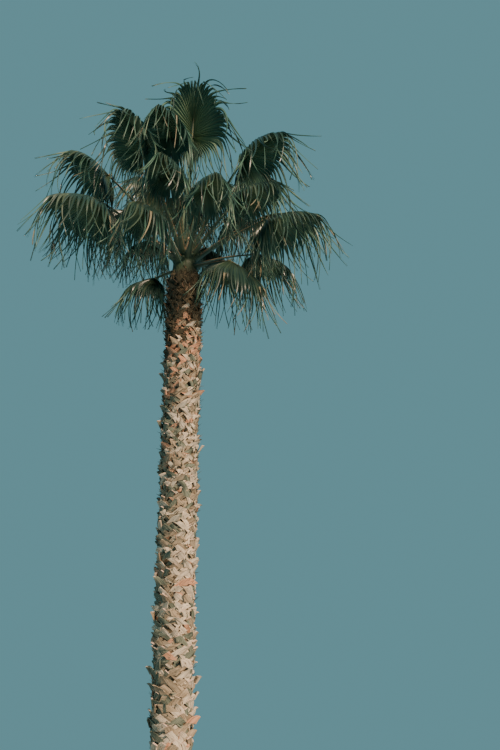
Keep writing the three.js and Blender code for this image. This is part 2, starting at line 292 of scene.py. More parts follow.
def core_radius(z):
    if z > TRUNK_HEIGHT:
        share = clamp((z - TRUNK_HEIGHT) / HEART_HEIGHT)
        return lerp(CORE_RADIUS - TAPER, HEART_TOP_RADIUS, share ** HEART_CURVE)
    return CORE_RADIUS - TAPER * z / TRUNK_HEIGHT + FLARE * math.exp(-z / FLARE_HEIGHT)


def add_tube(bm, columns, rows, place):
    """A closed tube: a grid rolled up by place(around, along), both from 0 to 1."""
    made = bmesh.ops.create_grid(bm, x_segments=columns, y_segments=rows, size=0.5, calc_uvs=True)
    verts = made["verts"]
    faces = list({face for vert in verts for face in vert.link_faces})
    for vert in verts:
        vert.co = place(vert.co.x + 0.5, vert.co.y + 0.5)
    bmesh.ops.remove_doubles(bm, verts=verts, dist=1e-6)
    ends = [edge for face in faces for edge in face.edges if edge.is_boundary]
    caps = bmesh.ops.holes_fill(bm, edges=list(set(ends)))["faces"]
    for face in faces:
        face.smooth = True
    bmesh.ops.recalc_face_normals(bm, faces=faces + caps)
    return faces + caps


def mat_place(around, along):
    z = along * (TRUNK_HEIGHT + HEART_HEIGHT)
    angle = around * 2 * math.pi
    out = core_radius(z) + MAT_THICKNESS - MAT_ROUGHNESS
    skin = Vector((math.cos(angle) * out, math.sin(angle) * out, z))
    lumps = Vector((skin.x * MAT_LUMPS["across"], skin.y * MAT_LUMPS["across"], z * MAT_LUMPS["up"]))
    out += MAT_ROUGHNESS * noise.noise(lumps)
    return Vector((math.cos(angle) * out, math.sin(angle) * out, z))


mat_bm = bmesh.new()
mat_bm.loops.layers.uv.new("UVMap")
add_tube(mat_bm, MAT_COLUMNS, MAT_ROWS, mat_place)
print("the matted fibre has", len(mat_bm.faces), "faces")

# %% [markdown]
# Palm fibre is the brown sacking that holds young leaf bases together. It weathers almost black where no
# sun reaches, and has no gloss at all. Its threads are under a millimetre thick, far too fine to show from
# here, so they are drawn 6 mm apart, running up the trunk.

# %% Palm fibre
FIBRE_PITCH = 0.006
FIBRE_RUN = 12  # per metre up the trunk: a thread runs some 80 mm before it fades

palm_fibre, palm_fibre_shader = new_material("palm_fibre", Specular_IOR_Level=0.2)
fibre_threads = add_node(
    palm_fibre, "ShaderNodeTexNoise", Scale=1.0, Detail=3.0,
    Vector=laid_out(palm_fibre, "Object", (1 / FIBRE_PITCH, 1 / FIBRE_PITCH, FIBRE_RUN)))
hang_skin(
    palm_fibre, palm_fibre_shader,
    colour=two_tones(palm_fibre, fibre_threads.outputs["Fac"], "#3f382b", "#6f644f"),
    relief=fibre_threads.outputs["Fac"], depth=0.004, rough=(0.85, 1.0))

make_piece("trunk_matted_fibre", mat_bm, [palm_fibre], ["trunk"])

# %% [markdown]
# A leaf base is what a pruner leaves of an old stalk: a stub that splits further down into two legs, which
# clasp the trunk like an upturned V. The legs of one pass under the stubs of the next ring, and that gives
# the criss-cross of such a trunk. One small plate, a grid with a notch for the V and a wall pushed into it
# by solidify, is the pattern for all of them. It lies flat here, one wide and one high, and is bent round
# the trunk later. Solidify adds the sides of the wall in an order that differs from run to run, so the
# faces are sorted by where they lie.

# %% Pattern of one leaf base
PATTERN_COLUMNS, PATTERN_ROWS = 4, 6
NOTCH_COLUMNS, NOTCH_ROWS = 2, 3
FORK = NOTCH_ROWS / PATTERN_ROWS  # where the legs part, as a share of the height
NOTCH = NOTCH_COLUMNS / PATTERN_COLUMNS / 2  # from the middle to a leg, as a share of the width
SORT_BY = Vector((1, 10, 100))  # weights that give the middle of each face a number of its own

pattern_bm = bmesh.new()
bmesh.ops.create_grid(pattern_bm, x_segments=PATTERN_COLUMNS, y_segments=PATTERN_ROWS, size=0.5)
notch = [
    face for face in pattern_bm.faces
    if abs(face.calc_center_median().x) < NOTCH and face.calc_center_median().y + 0.5 < FORK
]
bmesh.ops.delete(pattern_bm, geom=notch, context="FACES")
bmesh.ops.solidify(pattern_bm, geom=list(pattern_bm.faces), thickness=1.0)
bmesh.ops.recalc_face_normals(pattern_bm, faces=list(pattern_bm.faces))
pattern_bm.faces.sort(key=lambda face: face.calc_center_median().dot(SORT_BY))
base_pattern = bpy.data.meshes.new("leaf_base_pattern")
pattern_bm.to_mesh(base_pattern)
pattern_bm.free()
print("one leaf base has", len(base_pattern.polygons), "faces")

# %% [markdown]
# The leaf bases stand in rings, each ring's in the gaps of the one below, and no two are alike. Each draws
# by chance how wide and how high it is, how far it stands out, how it is tilted and warped, and which way
# its stub turns: into line with one leg, while the other leg lies on top. The stub narrows to a blunt or a
# sharp end, and about one in five is left as a long dry spike. The bases are broadest low on the trunk.
# Towards the crown they grow smaller, and on the heart, above the trunk proper, they lie close.

# %% Where the leaf bases stand
BASES_ROUND = 12
BASE_ROWS = 94
HEART_ROWS = 3
BASE_LIFT = 0.6  # of the step between two rings
# Shares of the trunk's height, from where each zone's bases begin to differ to where they do so in full:
LOW_ZONE, HIGH_ZONE, TOP_ZONE = (0.60, 0.40), (0.55, 0.85), (0.90, 0.96)
ASKEW = {"round": 0.08, "up": 0.030}  # radians and metres that a base may be out of its place, either way
SPIKES = 0.22  # share of the bases that are left as spikes
SPIKE = {"out": 1.7, "high": 1.15, "point": 0.05}  # against a common base
STANDS_OUT = 0.050  # how far the end of a stub stands off the trunk, before chance
OUT_BY_CHANCE = (0.45, 1.20)  # shares, the least and the most
OUT_ON_HEART = 0.4
WIDE_BY_CHANCE = (0.80, 1.20)
HIGH_BY_CHANCE = (0.78, 1.08)
LOW_DOWN = {"wide": 0.14, "high": 0.12}  # shares that a base is larger by, low on the trunk
HIGH_UP_NARROWER = 0.15
AT_TOP = {"narrower": 0.20, "lower": 0.30}
TILT = 10  # degrees, either way
LEAN = (28, 48)  # degrees that a stub turns, to lie in line with a leg
WARP = 0.022  # that one side is twisted out by, at a stub's end
POINT_LOW, POINT_HIGH = 0.60, 0.15  # the least width of a stub's end against its root, low down and high up
POINT_MORE = 0.5  # and what chance may add

Base = namedtuple("Base", "angle up lip wide high tilt lean warp point over seed")


def leaf_bases():
    step = TRUNK_HEIGHT / BASE_ROWS
    for ring in range(1, BASE_ROWS + HEART_ROWS):
        up_trunk = ring / BASE_ROWS
        low_down, high_up, at_top = (fade(up_trunk, *zone) for zone in (LOW_ZONE, HIGH_ZONE, TOP_ZONE))
        on_heart = clamp((ring - BASE_ROWS + 2) / HEART_ROWS)
        size = 1 - HIGH_UP_NARROWER * high_up + LOW_DOWN["wide"] * low_down
        size *= 1 - AT_TOP["narrower"] * at_top
        for column in range(BASES_ROUND * 2):
            if (column + ring) % 2:
                continue
            seed = ring * 2 * BASES_ROUND + column
            is_spike = chance(seed, 3) < SPIKES
            high = SPIKE["high"] if is_spike else lerp(*HIGH_BY_CHANCE, chance(seed, 7))
            out = lerp(lerp(*OUT_BY_CHANCE, chance(seed, 8)), OUT_ON_HEART, on_heart)
            point = lerp(POINT_LOW, POINT_HIGH, high_up) + POINT_MORE * chance(seed, 13)
            over = 1 if chance(seed, 14) < 0.5 else -1
            yield Base(
                angle=spread(seed, 4, ASKEW["round"]) - math.radians(360 / (BASES_ROUND * 2) * column),
                up=(ring + BASE_LIFT) * step + spread(seed, 5, ASKEW["up"]),
                lip=STANDS_OUT * out * (SPIKE["out"] if is_spike else 1),
                wide=lerp(*WIDE_BY_CHANCE, chance(seed, 6)) * size,
                high=high * (1 - AT_TOP["lower"] * at_top + LOW_DOWN["high"] * low_down),
                tilt=math.radians(spread(seed, 9, TILT)),
                lean=math.radians(lerp(*LEAN, chance(seed, 11))) * over,
                warp=spread(seed, 10, WARP),
                point=SPIKE["point"] if is_spike else point,
                over=over,
                seed=seed)


ALL_BASES = list(leaf_bases())
spike_count = sum(base.point == SPIKE["point"] for base in ALL_BASES)
print(len(ALL_BASES), "leaf bases,", spike_count, "of them spikes")

# %% [markdown]
# To bend a base round the trunk, three questions are asked of each point of the pattern: how far across
# and up the base it lies, how far off the trunk's wood it stands, and so where it is in space. The legs run
# apart from the fork to their feet, which sink into the fibre, and the one on top lies a leg's thickness
# further out. The stub leans away from the trunk, most at its end, which is cut at a slant.

# %% Bend a leaf base round the trunk
LEG_WIDTH = 0.057  # level, across a leg that runs down at a slant
LEGS_MEET = 0.010  # between the insides of the legs at the fork
FEET_APART = 0.188  # and of the two feet
FEET_SUNK = 0.006
STUB_WIDTH = 0.058
BASE_HEIGHT = 0.180  # from the feet to the cut
LEG_THICKNESS = 0.014
STUB_THICKNESS = 0.018
THICKER_FROM = 0.375  # of the height
LEGS_END, TURN_ENDS = 2.4, 3  # how many times the stub is longer than the stretch that each takes
OUT_AT_FORK = 0.40  # of how far the stub's end stands out
CROWNED = 0.003  # that the middle of a stub stands over its sides
CUT_SLANT = 0.010  # how far the outer edge of a cut end lies below the inner one
BASES_OFF_CORE = 0.006
TIGHTEST_BEND = 0.1  # radius under which a base isn't wrapped any closer, on the heart
OFF_FLOOR = 0.002


def base_outline(base, s, t):
    """Where a point of the pattern lies across the base and up it, before it is bent round the trunk."""
    inner = lerp(FEET_APART, LEGS_MEET, clamp(t / FORK)) / 2
    in_leg = math.copysign(inner + (abs(s) * 2 - 1) * LEG_WIDTH, s) if abs(s) > 0.1 else 0.0
    stub = clamp((t - FORK) / (1 - FORK))
    in_stub = s * STUB_WIDTH / 2 * lerp(1, base.point, fade(stub, 0.5, 1))
    x = lerp(in_leg, in_stub, clamp(stub * LEGS_END)) * base.wide
    up = (t - FORK) * BASE_HEIGHT * base.high
    turn = base.lean * clamp(stub * TURN_ENDS)
    return x * math.cos(turn) + up * math.sin(turn), up * math.cos(turn) - x * math.sin(turn)


def base_stands(base, s, t):
    """How far the outside of a base stands off the trunk's wood."""
    if t < FORK - 0.01:
        on_top = base.over * math.copysign(1, s) > 0
        return lerp(-FEET_SUNK, base.lip * OUT_AT_FORK, t / FORK) + LEG_THICKNESS * on_top
    stub = (t - FORK) / (1 - FORK)
    return base.lip * lerp(OUT_AT_FORK, 1, stub ** 1.2) + CROWNED * (1 - abs(s))


def base_place(base, s, t, wall):
    """A point of the pattern on the trunk: s across from -1 to 1, t up from 0 to 1, wall 0 outside."""
    x, up = base_outline(base, s, t)
    if t > 0.99 and wall < 0.5:
        up -= CUT_SLANT
    cos_tilt, sin_tilt = math.cos(base.tilt), math.sin(base.tilt)
    x, up = x * cos_tilt - up * sin_tilt, x * sin_tilt + up * cos_tilt
    z = max(base.up - (1 - FORK) * BASE_HEIGHT + up, OFF_FLOOR)
    thick = lerp(LEG_THICKNESS, STUB_THICKNESS, fade(t, THICKER_FROM, 1))
    out = core_radius(z) + BASES_OFF_CORE + base_stands(base, s, t) + base.warp * s * t - thick * wall
    angle = base.angle + x / max(core_radius(z), TIGHTEST_BEND)
    return Vector((math.cos(angle) * out, math.sin(angle) * out, z))


first = ALL_BASES[0]
print("the first base's end stands", round(base_stands(first, 0, 1) * 1000), "mm off the wood")

# %% [markdown]
# A stub and its two legs weather apart, so each of the three draws its own finish. Young bases, high on
# the trunk, are reddish. Under the crown they are still wrapped in fibre. Towards -X that fibre reaches
# further down and the bases are greyer all the way down: that side is painted shade, made darker because
# it faces away from the key light. The rest is bleached, with tan between.
# The end of every stub that isn't fibrous shows the paler wood of the cut.

# %% Leaf bases on the trunk
BLEACHED, TAN, SALMON, GREY, FIBROUS, FRESH_CUT = range(6)
REDDISH_UP = (6.7, 7.6)  # where bases begin to be reddish, and where most that can be are
REDDISH_MOST = 0.34
FIBROUS_UP = (7.90, 8.25)
FIBROUS_LOWER_AS_PAINTED_SHADE = 0.55  # how much further down the fibre reaches towards -X, as painted shade
BLEACHED_SHARE, TAN_SHARE, SALMON_SHARE = 0.52, 0.28, 0.05
LESS_BLEACHED_AS_PAINTED_SHADE = 0.34  # towards -X, as painted shade
GRAIN_SHIFT = 0.37  # metres between two bases on the grain's map, so that no two show the same piece of it
BASE_ON_MAP = {"wide": 0.14, "thick": 0.02}  # metres


def base_finish(base, part):
    """The finish of one part of a base, 0 the stub and 1 and 2 the legs: by height, and by side as painted
    shade.
    """
    draw = chance(base.seed + 2000 * part, 12)
    # Painted shade: towards -X, away from the key light, more bases are dealt fibre and grey, so that side
    # is darker.
    painted_shade = clamp(0.2 - math.cos(base.angle))
    if chance(base.seed, 15) < fade(base.up + FIBROUS_LOWER_AS_PAINTED_SHADE * painted_shade, *FIBROUS_UP):
        return FIBROUS
    if draw < REDDISH_MOST * fade(base.up, *REDDISH_UP):
        return SALMON
    draw += LESS_BLEACHED_AS_PAINTED_SHADE * painted_shade
    for finish, share in ((BLEACHED, BLEACHED_SHARE), (TAN, TAN_SHARE), (SALMON, SALMON_SHARE)):
        if draw < share:
            return finish
        draw -= share
    return GREY


bases_bm = bmesh.new()
bases_uv = bases_bm.loops.layers.uv.new("UVMap")
for base in ALL_BASES:
    first_vert, first_face = len(bases_bm.verts), len(bases_bm.faces)
    bases_bm.from_mesh(base_pattern)
    bases_bm.verts.ensure_lookup_table()
    bases_bm.faces.ensure_lookup_table()
    finishes = [base_finish(base, part) for part in range(3)]
    for face in bases_bm.faces[first_face:]:
        middle = face.calc_center_median()
        part = 0 if middle.y + 0.5 > FORK else 1 if middle.x < 0 else 2
        is_cut = all(vert.co.y > 0.49 for vert in face.verts)
        face.material_index = FRESH_CUT if is_cut and finishes[0] != FIBROUS else finishes[part]
        for loop in face.loops:
            co = loop.vert.co
            across = base.seed * GRAIN_SHIFT + co.x * BASE_ON_MAP["wide"]
            loop[bases_uv].uv = (across, co.y * BASE_HEIGHT + co.z * BASE_ON_MAP["thick"])
    for vert in bases_bm.verts[first_vert:]:
        vert.co = base_place(base, vert.co.x * 2, vert.co.y + 0.5, -vert.co.z)
print("they have", len(bases_bm.faces), "faces")

# %% [markdown]
# A dead leaf base is wood in all but name: long pale fibres in a browner pith, quite dull, bleached by the
# sun and split along the grain. Young ones are salmon for a few years, and old ones go cream, tan and
# grey. One function makes all six finishes. The real fibres are about 1 mm apart. They are drawn 5 mm
# apart to show at this distance, and cracks every 22 mm or so.

# %% Weathered leaf bases
GRAIN_PITCH = 0.005
CRACK_PITCH = 0.022
GRAIN_RUN, CRACK_RUN = 14, 9  # per metre along the base: a fibre shows for some 70 mm, a crack for 110


def weathered_base(name, dark, light):
    material, shader = new_material(name, Specular_IOR_Level=0.25)
    grain = add_node(
        material, "ShaderNodeTexNoise", Scale=1.0, Detail=4.0, Roughness=0.6,
        Vector=laid_out(material, "UV", (1 / GRAIN_PITCH, GRAIN_RUN, 1)))
    cracks = add_node(
        material, "ShaderNodeTexNoise", Scale=1.0, Detail=2.0,
        Vector=laid_out(material, "UV", (1 / CRACK_PITCH, CRACK_RUN, 1)))
    split_grain = add_node(
        material, "ShaderNodeMath", {"operation": "MULTIPLY"},
        _0=grain.outputs["Fac"], _1=cracks.outputs["Fac"]).outputs["Value"]
    hang_skin(
        material, shader, colour=two_tones(material, split_grain, dark, light, low=0.14, high=0.30),
        relief=split_grain, depth=0.006, strength=0.8, rough=(0.7, 0.95), rough_by=grain.outputs["Fac"])
    return material


BASE_FINISHES = [
    weathered_base("bleached_leaf_base", "#968673", "#d6c7b2"),
    weathered_base("tan_leaf_base", "#6c5e4c", "#a99780"),
    weathered_base("salmon_leaf_base", "#845f47", "#cd9b7e"),
    weathered_base("grey_leaf_base", "#434a40", "#7c8171"),
    weathered_base("fibrous_leaf_base", "#2b281e", "#605543"),
    weathered_base("fresh_cut_leaf_base", "#a58a78", "#dcc2b2"),
]
make_piece("trunk_leaf_bases", bases_bm, BASE_FINISHES, ["trunk"])

# %% [markdown]
# Between the bases the trunk is full of splinters: dry shreds of fibre and broken corners that stick out
# like thorns, few on the old trunk, crowded and longer where the youngest cuts are. A four-sided cone
# pressed flat is the pattern for them. Each copy is rooted in the trunk and leans up, out and to one side.

# %% Splinters between the leaf bases
SPLINTERS = 2400
SPLINTER_LENGTH = (0.035, 0.085)
SPLINTER_WIDTH = (0.012, 0.024)
SPLINTER_FLAT = 0.45  # its thickness against its width
SPLINTER_ROOT = (0.012, 0.036)  # over the wood
SPLINTER_OUT, SPLINTER_UP, SPLINTER_ASIDE = (0.25, 1.1), (0.3, 1.0), 0.9  # shares that make up its way
LONGER_UP, LONGER_BY = (5.5, 7.5), 0.35
CROWDED_UP = 0.45  # a power: the lower, the more of them are high up
SPLINTER_ON_MAP = {"wide": 0.02, "long": 0.06}

splinter_bm = bmesh.new()
bmesh.ops.create_cone(
    splinter_bm, cap_ends=True, segments=4, radius1=0.5, radius2=0.03, depth=1.0,
    matrix=Matrix.Translation((0, 0, 0.4)))
splinter_pattern = bpy.data.meshes.new("splinter_pattern")
splinter_bm.to_mesh(splinter_pattern)
splinter_bm.free()


def splinter_finish(number, up):
    fibrous = lerp(0.30, 0.80, fade(up, 6.4, 7.8))
    draw = chance(number, 29)
    return FIBROUS if draw < fibrous else SALMON if draw > 0.92 else TAN if draw > 0.80 else GREY


def splinter_matrix(number, up):
    angle = chance(number, 22) * 2 * math.pi
    outward = Vector((math.cos(angle), math.sin(angle), 0))
    aside = Vector((-outward.y, outward.x, 0))
    way = outward * lerp(*SPLINTER_OUT, chance(number, 24)) + UP * lerp(*SPLINTER_UP, chance(number, 25))
    way += aside * spread(number, 26, SPLINTER_ASIDE)
    root = outward * (core_radius(up) + lerp(*SPLINTER_ROOT, chance(number, 27))) + UP * up
    length = lerp(*SPLINTER_LENGTH, chance(number, 23) ** 2) * (1 + LONGER_BY * fade(up, *LONGER_UP))
    width = lerp(*SPLINTER_WIDTH, chance(number, 28))
    turn = way.to_track_quat("Z", "Y").to_matrix().to_4x4()
    return Matrix.Translation(root) @ turn @ Matrix.Diagonal((width, width * SPLINTER_FLAT, length, 1))


splinters_bm = bmesh.new()
splinters_uv = splinters_bm.loops.layers.uv.new("UVMap")
for number in range(SPLINTERS):
    up = TRUNK_HEIGHT * chance(number, 21) ** CROWDED_UP
    first_vert, first_face = len(splinters_bm.verts), len(splinters_bm.faces)
    splinters_bm.from_mesh(splinter_pattern)
    splinters_bm.verts.ensure_lookup_table()
    splinters_bm.faces.ensure_lookup_table()
    for face in splinters_bm.faces[first_face:]:
        face.material_index = splinter_finish(number, up)
        for loop in face.loops:
            across = number * GRAIN_SHIFT + loop.vert.co.x * SPLINTER_ON_MAP["wide"]
            loop[splinters_uv].uv = (across, loop.vert.co.z * SPLINTER_ON_MAP["long"])
    place = splinter_matrix(number, up)
    bmesh.ops.transform(splinters_bm, matrix=place, verts=splinters_bm.verts[first_vert:])
make_piece("trunk_splinters", splinters_bm, BASE_FINISHES, ["trunk"])

# %% [markdown]
# The crown's rule comes next, again as the solids have it. A frond starts at the heart with its stalk. A
# young one leaves high and nearly upright, and an old one low and level, so its rise gives its age.

# %% Fronds of the crown
Frond = namedtuple("Frond", "turn rise stalk radius hang")  # stalk, radius in metres, the rest in degrees
FRONDS = [Frond(*row) for row in (
    (-20, 0, 0.500, 0.950, 22),
    (140, 6, 0.420, 0.760, -25),
    (-108, 8, 1.080, 0.940, 5),
    (-148, 25, 1.240, 1.120, 5),
    (-75, 20, 1.140, 0.900, 4),
    (34, 27, 1.120, 0.860, 6),
    (-40, 36, 1.090, 0.920, 15),
    (-13, 28, 1.120, 1.140, -1),
    (172, 38, 1.200, 0.900, 4),
    (-97, 27, 1.210, 0.810, 3),
    (78, 42, 1.150, 0.860, 5),
    (122, 44, 1.150, 0.860, 5),
    (10, 40, 1.240, 0.900, 4),
    (-32, 56, 1.450, 1.060, 8),
    (-118, 46, 1.410, 0.960, -14),
    (150, 52, 1.220, 0.880, 3),
    (-158, 46, 1.415, 0.940, -9),
    (50, 54, 1.220, 0.860, 3),
    (100, 72, 1.000, 0.850, -6),
    (20, 63, 1.270, 0.850, -6),
    (140, 68, 1.300, 0.850, -6),
    (70, 70, 1.370, 0.880, -12),
    (-82, 67, 1.490, 1.160, -6),
    (-99, 50, 1.480, 0.920, 12),
)]
YOUNGEST_RISE = 80
OLDEST_RISE = -20
STALK_SAG = 14  # degrees that a stalk curves down on its way
STALK_STEPS = 24
OLD_SEAT = {"out": 0.120, "up": 0.090}  # where a stalk starts: from the trunk's axis, and over its rim
YOUNG_SEAT = {"out": 0.050, "up": 0.370}


def age_of(frond):
    return clamp((YOUNGEST_RISE - frond.rise) / (YOUNGEST_RISE - OLDEST_RISE))


def stalk_points(frond):
    age = age_of(frond)
    point = direction(frond.turn, 0) * lerp(YOUNG_SEAT["out"], OLD_SEAT["out"], age)
    point.z = TRUNK_HEIGHT + lerp(YOUNG_SEAT["up"], OLD_SEAT["up"], age)
    points = [point.copy()]
    for i in range(STALK_STEPS):
        sag = STALK_SAG * (0.5 - (i + 0.5) / STALK_STEPS)
        point = point + direction(frond.turn, frond.rise + sag) * (frond.stalk / STALK_STEPS)
        points.append(point)
    return points


print(len(FRONDS), "fronds, the oldest", round(age_of(FRONDS[0]), 2), "old")

# %% [markdown]
# A stalk is a long springy wand: hollowed like a gutter above, rounded below, with two sharp margins. It
# is widest where it clasps the heart. A circle swept along a curve would lose the gutter and the margins,
# so a grid is rolled up with that section instead, ring by ring along the stalk's points.

# %% Shape of a stalk
STALK_BASE = {"width": 0.082, "depth": 0.034}
STALK_TIP = {"width": 0.034, "depth": 0.022}
SHEATH = {"width": 0.070, "reach": 0.10}  # how much wider the clasping foot is, and how far that reaches
GUTTER = {"height": 0.5, "dip": 0.28}  # of the underside's depth: the upper side, and how it falls back
STALK_COLUMNS, STALK_ROWS = 12, 30


def at_share(points, share):
    """The point at a share of a line of points, and the way it runs there."""
    place = clamp(share) * (len(points) - 1)
    i = min(int(place), len(points) - 2)
    before, after = points[max(i - 1, 0)], points[min(i + 2, len(points) - 1)]
    return points[i].lerp(points[i + 1], place - i), (after - before).normalized()


def limb_frame(points, share):
    point, ahead = at_share(points, share)
    across = UP.cross(ahead).normalized()
    return point, ahead, across, ahead.cross(across)


def stalk_width(frond, along):
    foot = SHEATH["width"] * math.exp(-along * frond.stalk / SHEATH["reach"])
    return lerp(STALK_BASE["width"], STALK_TIP["width"], math.sqrt(along)) + foot


def stalk_place(frond, points):
    def place(around, along):
        point, _, across, over = limb_frame(points, along)
        angle = around * 2 * math.pi
        depth = lerp(STALK_BASE["depth"], STALK_TIP["depth"], math.sqrt(along))
        side, lift = math.cos(angle), math.sin(angle)
        if lift > 0:
            lift = GUTTER["height"] * lift - GUTTER["dip"] * lift ** 3
        return point + across * (side * stalk_width(frond, along) / 2) + over * (lift * depth / 2)
    return place


stalks_bm = bmesh.new()
stalks_bm.loops.layers.uv.new("UVMap")
for frond in FRONDS:
    add_tube(stalks_bm, STALK_COLUMNS, STALK_ROWS, stalk_place(frond, stalk_points(frond)))
print("stalks have", len(stalks_bm.faces), "faces")

# %% [markdown]
# Below its stalk every leaf goes on as a sheath that clasps the heart. The sheaths overlap like the leaves
# of a leek, oldest outside, green above and matted brown below. Each is a flat tube that starts under the
# trunk's rim, follows the cone of the heart up and ends inside the foot of its stalk. A few fronds were cut
# off lately, and the first third of each one's stalk still stands between the others.

# %% Sheaths round the heart
SHEATH_WIDTH = 0.135
SHEATH_THICKNESS = 0.020
SHEATH_BELOW = 0.20  # how far under the trunk's rim an old sheath starts
SHEATH_OFF_CORE = (0.008, 0.030)  # how far off the wood a young one lies, and an old one
SHEATH_CLASP = 0.030  # how far its sides curl round the trunk
SHEATH_COLUMNS, SHEATH_ROWS, STUB_ROWS = 12, 10, 8
STUB_LEFT = 0.3  # of a stalk's length, where its frond was cut off
STUBS = [Frond(turn, rise, stalk, 0, 0) for turn, rise, stalk in (
    (-74, 46, 0.86), (-130, 40, 0.40), (60, 50, 0.66), (110, 35, 0.53), (185, 62, 0.73))]


def sheath_place(frond, points):
    age = age_of(frond)
    low, seat = TRUNK_HEIGHT - SHEATH_BELOW * (0.4 + 0.6 * age), points[0]
    clasp = [low, lerp(low, seat.z, 0.35), lerp(low, seat.z, 0.7)]
    off = lerp(*SHEATH_OFF_CORE, age)
    line = [direction(frond.turn, 0) * (core_radius(z) + off) + UP * z for z in clasp]
    line += [seat.lerp(points[2], 0.5), points[3]]
    sideways = direction(frond.turn + 90, 0)

    def place(around, along):
        point, ahead = at_share(line, along)
        over = ahead.cross(sideways)
        side, lift = math.cos(around * 2 * math.pi), math.sin(around * 2 * math.pi)
        width = lerp(SHEATH_WIDTH, stalk_width(frond, 0), along) * (1 - 0.25 * (1 - along) ** 3)
        clasped = over * (side ** 2 * SHEATH_CLASP * (1 - along))
        return point + sideways * (side * width / 2) + over * (lift * SHEATH_THICKNESS / 2) + clasped
    return place


def stub_place(stub):
    """The first share of a stalk, at the stalk's own width there."""
    place = stalk_place(stub, stalk_points(stub))
    return lambda around, along: place(around, along * STUB_LEFT)


sheaths_bm = bmesh.new()
sheaths_bm.loops.layers.uv.new("UVMap")
for frond in FRONDS:
    add_tube(sheaths_bm, SHEATH_COLUMNS, SHEATH_ROWS, sheath_place(frond, stalk_points(frond)))
for stub in STUBS:
    for face in add_tube(sheaths_bm, STALK_COLUMNS, STUB_ROWS, stub_place(stub)):
        face.material_index = 1  # the cut stalk's finish
        face.smooth = len(face.verts) == 4  # all but the cut end
print("sheaths and stubs have", len(sheaths_bm.faces), "faces")

# %% [markdown]
# Each margin carries a row of hooked teeth, close set and large near the heart and gone towards the fan.
# A tooth is a three-sided cone leaned back towards the heart. It gets a finish of its own, the orange
# brown that the margins have.

# %% Teeth along the margins
TOOTH_PITCH = 0.022
TOOTH_LENGTH = 0.013
TOOTH_SHAPE = {"foot": 0.33, "tip": 0.0003}  # radii: of its length, and in metres
TOOTH_BACK = 0.7  # how far it leans back for each step out
TEETH_SHRINK = 0.6  # share that they lose towards the fan
TOOTHED_SHARE = 0.75  # of the stalk's length
FIRST_TOOTH = 3  # the ones before it would be inside the heart


def add_teeth(bm, frond):
    points = stalk_points(frond)
    count = int(frond.stalk * TOOTHED_SHARE / TOOTH_PITCH)
    for i in range(FIRST_TOOTH, count):
        along = i * TOOTH_PITCH / frond.stalk
        point, ahead, across, _ = limb_frame(points, along)
        size = TOOTH_LENGTH * (1 - TEETH_SHRINK * along)
        for side in (-1, 1):
            root = point + across * (side * stalk_width(frond, along) / 2 * 0.97)
            way = (across * side - ahead * TOOTH_BACK).normalized()
            turn = way.to_track_quat("Z", "Y").to_matrix().to_4x4()
            made = bmesh.ops.create_cone(
                bm, cap_ends=True, segments=3, depth=size,
                radius1=size * TOOTH_SHAPE["foot"], radius2=TOOTH_SHAPE["tip"],
                matrix=Matrix.Translation(root + way * (size * 0.4)) @ turn)
            for face in {face for vert in made["verts"] for face in vert.link_faces}:
                face.material_index = 1  # the teeth's finish


for frond in FRONDS:
    add_teeth(stalks_bm, frond)
print("with teeth", len(stalks_bm.faces), "faces")

# %% [markdown]
# A living stalk has a waxy skin: smooth, half glossy, olive green with paler streaks along it, and orange
# towards both margins. The streaks are real bundles of fibre about 2 mm apart, too fine to show. The
# pattern goes round a stalk a fixed number of times, so they are drawn 4 mm apart at its tip and wider
# apart at its foot. It reads the stalk's own UV map, whose first axis goes round it and whose second runs
# along it.

# %% Waxy green stalk
STREAKS_ROUND = 24
STREAKS_ALONG = 3
MARGIN_BAND = (0.7, 0.95)  # where the margin's colour starts, and is full, of a cosine that is 1 there


def stalk_skin(name, dark, light, margin):
    material, shader = new_material(name, Specular_IOR_Level=0.5, Coat_Weight=0.15, Coat_Roughness=0.4)
    streaks = add_node(
        material, "ShaderNodeTexNoise", Scale=1.0, Detail=3.0,
        Vector=laid_out(material, "UV", (STREAKS_ROUND, STREAKS_ALONG, 1))).outputs["Fac"]
    skin = two_tones(material, streaks, dark, light, low=0.3, high=0.7)
    twice_round = add_node(
        material, "ShaderNodeSeparateXYZ", Vector=laid_out(material, "UV", (4 * math.pi, 1, 1)))
    on_margin = add_node(
        material, "ShaderNodeMath", {"operation": "COSINE"}, _0=twice_round.outputs["X"])
    near_margin = add_node(
        material, "ShaderNodeMapRange", Value=on_margin.outputs["Value"],
        From_Min=MARGIN_BAND[0], From_Max=MARGIN_BAND[1])
    colour = add_node(
        material, "ShaderNodeMix", {"data_type": "RGBA"},
        _0=near_margin.outputs["Result"], _6=skin, _7=linear(margin)).outputs[2]
    hang_skin(material, shader, colour, relief=streaks, depth=0.002, rough=(0.35, 0.6))
    return material


waxy_stalk = stalk_skin("waxy_green_stalk", "#2f4031", "#627256", "#94745a")
streaks_apart = math.pi * STALK_TIP["width"] / STREAKS_ROUND
print("streaks are", round(streaks_apart * 1000), "mm apart at a stalk's tip")

# %% [markdown]
# Three finishes more are found in the crown. A sheath is matted brown and dull where it clasps the trunk,
# and turns into the stalk's green higher up, along a frayed line: the fibres' own pattern is added to the
# height. The wood of a cut stalk is pale, dry and streaked. A tooth is horn, half glossy and orange brown,
# with streaks 4 mm apart, coarser than the real ones, which are too fine to show.

# %% Sheaths, cut stalks and teeth
SHEATH_RUN = 4
FRAYED = 0.5  # of the sheath's length that the fibres may move the line by
GREEN_FROM = (0.50, 0.85)
STREAK_RUN = 20  # per metre: a streak runs some 50 mm


